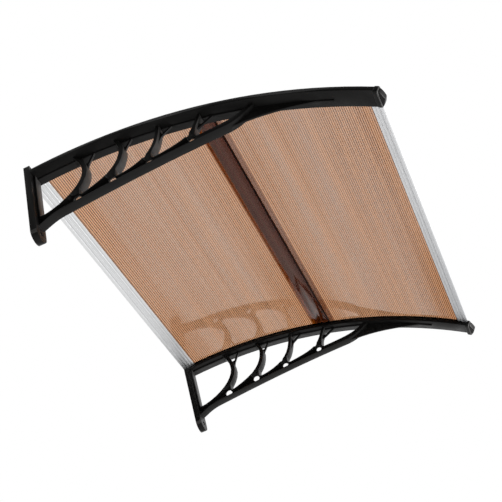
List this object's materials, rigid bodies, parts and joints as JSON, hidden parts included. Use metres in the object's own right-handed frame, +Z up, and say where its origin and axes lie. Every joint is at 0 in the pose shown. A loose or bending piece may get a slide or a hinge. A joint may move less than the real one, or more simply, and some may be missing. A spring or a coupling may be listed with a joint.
{
  "type": "door canopy",
  "caption": "Curved canopy of brown twin-wall sheets between aluminium rails, on black brackets with open curved struts.",
  "frame": {"origin": "middle of the wall rail's back face, on the wall", "axes": "+Z up, +Y into the wall, the canopy reaches out along -Y, X along its width"},
  "size_m": [1.0116, 0.869, 0.294],
  "materials": {
    "black_plastic": "moulded, satin",
    "brown_sheet": "clear brown tint, fluted",
    "brown_profile": "clear dark brown tint",
    "aluminium": "extruded, anodised",
    "rubber": "matte",
    "screw_steel": "zinc plated"
  },
  "bodies": {
    "root": {"bracket_left": "black_plastic", "end_cap_left": "black_plastic", "side_strip_left": "black_plastic", "strip_screw_left_1": "screw_steel", "strip_screw_left_2": "screw_steel", "strip_screw_left_3": "screw_steel", "strip_screw_left_4": "screw_steel", "strip_screw_left_5": "screw_steel", "strip_screw_left_6": "screw_steel", "bracket_right": "black_plastic", "end_cap_right": "black_plastic", "side_strip_right": "black_plastic", "strip_screw_right_1": "screw_steel", "strip_screw_right_2": "screw_steel", "strip_screw_right_3": "screw_steel", "strip_screw_right_4": "screw_steel", "strip_screw_right_5": "screw_steel", "strip_screw_right_6": "screw_steel", "sheet_rear": "brown_sheet", "sheet_front": "brown_sheet", "joint_strip": "brown_profile", "wall_rail": "aluminium", "wall_seal": "rubber", "front_rail": "aluminium"}
  },
  "joints": []
}
